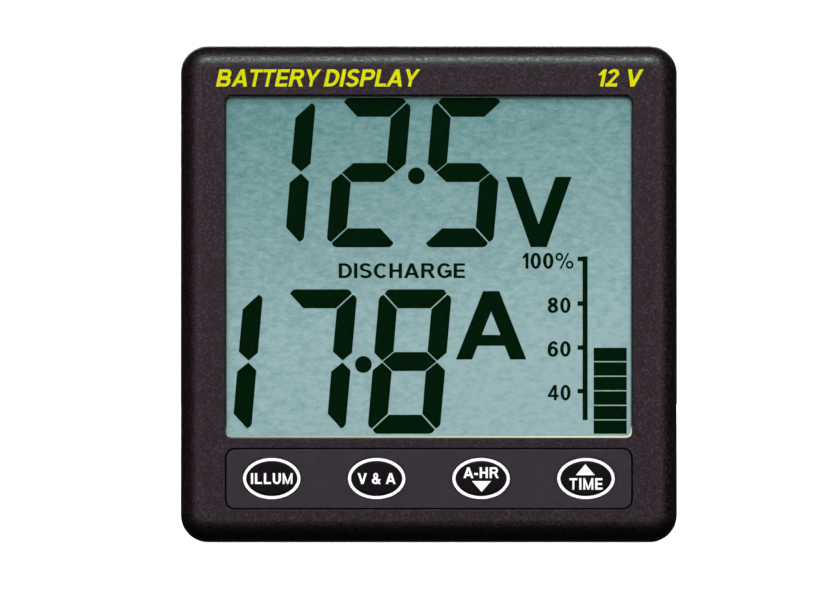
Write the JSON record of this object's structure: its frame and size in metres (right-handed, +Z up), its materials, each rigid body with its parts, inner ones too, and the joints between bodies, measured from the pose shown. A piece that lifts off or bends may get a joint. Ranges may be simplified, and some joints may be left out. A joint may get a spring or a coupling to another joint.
{
  "type": "battery monitor display head",
  "caption": "Square flush-mounted battery monitor display with a large segment screen, oval keys below it, and a clamp bar held by thumb nuts behind the panel.",
  "frame": {"origin": "centre of the face that bears on the panel, behind the bezel rim", "axes": "+X to the right as seen by the reader, +Y into the panel (the screen faces -Y), +Z up"},
  "size_m": [0.11, 0.0585, 0.11],
  "materials": {
    "case_plastic": "black moulded plastic with a fine spark-eroded grain",
    "clear_acrylic": "clear polished acrylic",
    "display_face": "teal-grey reflective liquid-crystal face behind a glossy polariser",
    "display_glass": "clear ground-edge glass",
    "polariser_film": "grey polarising film",
    "light_guide_acrylic": "milky clear acrylic",
    "reflector_white": "white reflecting film",
    "adhesive_tape": "black double-sided tape",
    "foam": "black foam",
    "contact_elastomer": "pink and black striped silicone",
    "carrier_plastic": "white moulded plastic",
    "lamp_body": "clear yellow-green lamp bodies",
    "keypad_film": "smooth dark charcoal printed film",
    "key_rubber": "satin black rubber with a printed white ring",
    "switch_button": "black plastic",
    "switch_body": "dark grey plastic with a metal lid",
    "board_laminate": "green solder-masked glass laminate",
    "zinc_steel": "bright zinc-plated steel",
    "chip_package": "black moulding compound",
    "tinned_lead": "tinned copper",
    "can_metal": "drawn metal can",
    "capacitor_sleeve": "dark blue shrink sleeve",
    "chip_part": "tan ceramic chips",
    "header_plastic": "natural nylon",
    "pin_metal": "plated brass",
    "seal_rubber": "black closed-cell rubber",
    "stainless": "stainless steel",
    "nut_brass": "nickel-plated brass with a fluted grip"
  },
  "bodies": {
    "housing": {"front_case": "case_plastic", "rear_case": "case_plastic", "display_window": "clear_acrylic", "front_polariser": "display_face", "lcd_front_glass": "display_glass", "lcd_rear_glass": "display_glass", "rear_polariser": "polariser_film", "light_guide": "light_guide_acrylic", "reflector_film": "reflector_white", "window_adhesive": "adhesive_tape", "keypad_adhesive": "adhesive_tape", "window_gasket": "foam", "contact_strip_top": "contact_elastomer", "contact_strip_bottom": "contact_elastomer", "display_carrier": "carrier_plastic", "backlight_lamps": "lamp_body", "keypad_strip": "keypad_film", "push_switches": "switch_body", "circuit_board": "board_laminate", "board_screws": "zinc_steel", "case_screws": "zinc_steel", "microcontroller": "chip_package", "display_driver": "chip_package", "amplifier_chip": "chip_package", "protection_diode": "chip_package", "voltage_regulator": "chip_package", "chip_leads": "tinned_lead", "crystal": "can_metal", "electrolytic_capacitors": "capacitor_sleeve", "chip_components": "chip_part", "wire_header": "header_plastic", "header_pins": "pin_metal", "panel_seal": "seal_rubber", "cable_grommet": "seal_rubber", "stud_left": "stainless", "stud_right": "stainless", "stud_lock_nuts": "stainless"},
    "key_illum": {"key_illum": "key_rubber", "switch_button_illum": "switch_button"},
    "key_volts_amps": {"key_volts_amps": "key_rubber", "switch_button_volts_amps": "switch_button"},
    "key_amp_hours": {"key_amp_hours": "key_rubber", "switch_button_amp_hours": "switch_button"},
    "key_time": {"key_time": "key_rubber", "switch_button_time": "switch_button"},
    "clamp": {"clamp_bar": "stainless"},
    "nut_left": {"thumb_nut_left": "nut_brass"},
    "nut_right": {"thumb_nut_right": "nut_brass"}
  },
  "joints": [
    {"name": "key_illum_press", "type": "slide", "parent": "housing", "child": "key_illum", "axis": [0, 1, 0], "range_m": [0, 0.0005], "stiffness_N_per_m": 3000, "springref_m": -0.0001},
    {"name": "key_volts_amps_press", "type": "slide", "parent": "housing", "child": "key_volts_amps", "axis": [0, 1, 0], "range_m": [0, 0.0005], "stiffness_N_per_m": 3000, "springref_m": -0.0001},
    {"name": "key_amp_hours_press", "type": "slide", "parent": "housing", "child": "key_amp_hours", "axis": [0, 1, 0], "range_m": [0, 0.0005], "stiffness_N_per_m": 3000, "springref_m": -0.0001},
    {"name": "key_time_press", "type": "slide", "parent": "housing", "child": "key_time", "axis": [0, 1, 0], "range_m": [0, 0.0005], "stiffness_N_per_m": 3000, "springref_m": -0.0001},
    {"name": "clamp_slide", "type": "slide", "parent": "housing", "child": "clamp", "axis": [0, 1, 0], "range_m": [0, 0.01]},
    {"name": "nut_left_turn", "type": "hinge", "parent": "clamp", "child": "nut_left", "pos_m": [-0.028, 0.02785, 0], "axis": [0, 1, 0], "range_deg": [0, 5150]},
    {"name": "nut_right_turn", "type": "hinge", "parent": "clamp", "child": "nut_right", "pos_m": [0.028, 0.02785, 0], "axis": [0, 1, 0], "range_deg": [0, 5150]}
  ],
  "couplings": [
    {"joint": "nut_left_turn", "follows": "clamp_slide", "rad_per_m": 8976},
    {"joint": "nut_right_turn", "follows": "clamp_slide", "rad_per_m": 8976}
  ]
}
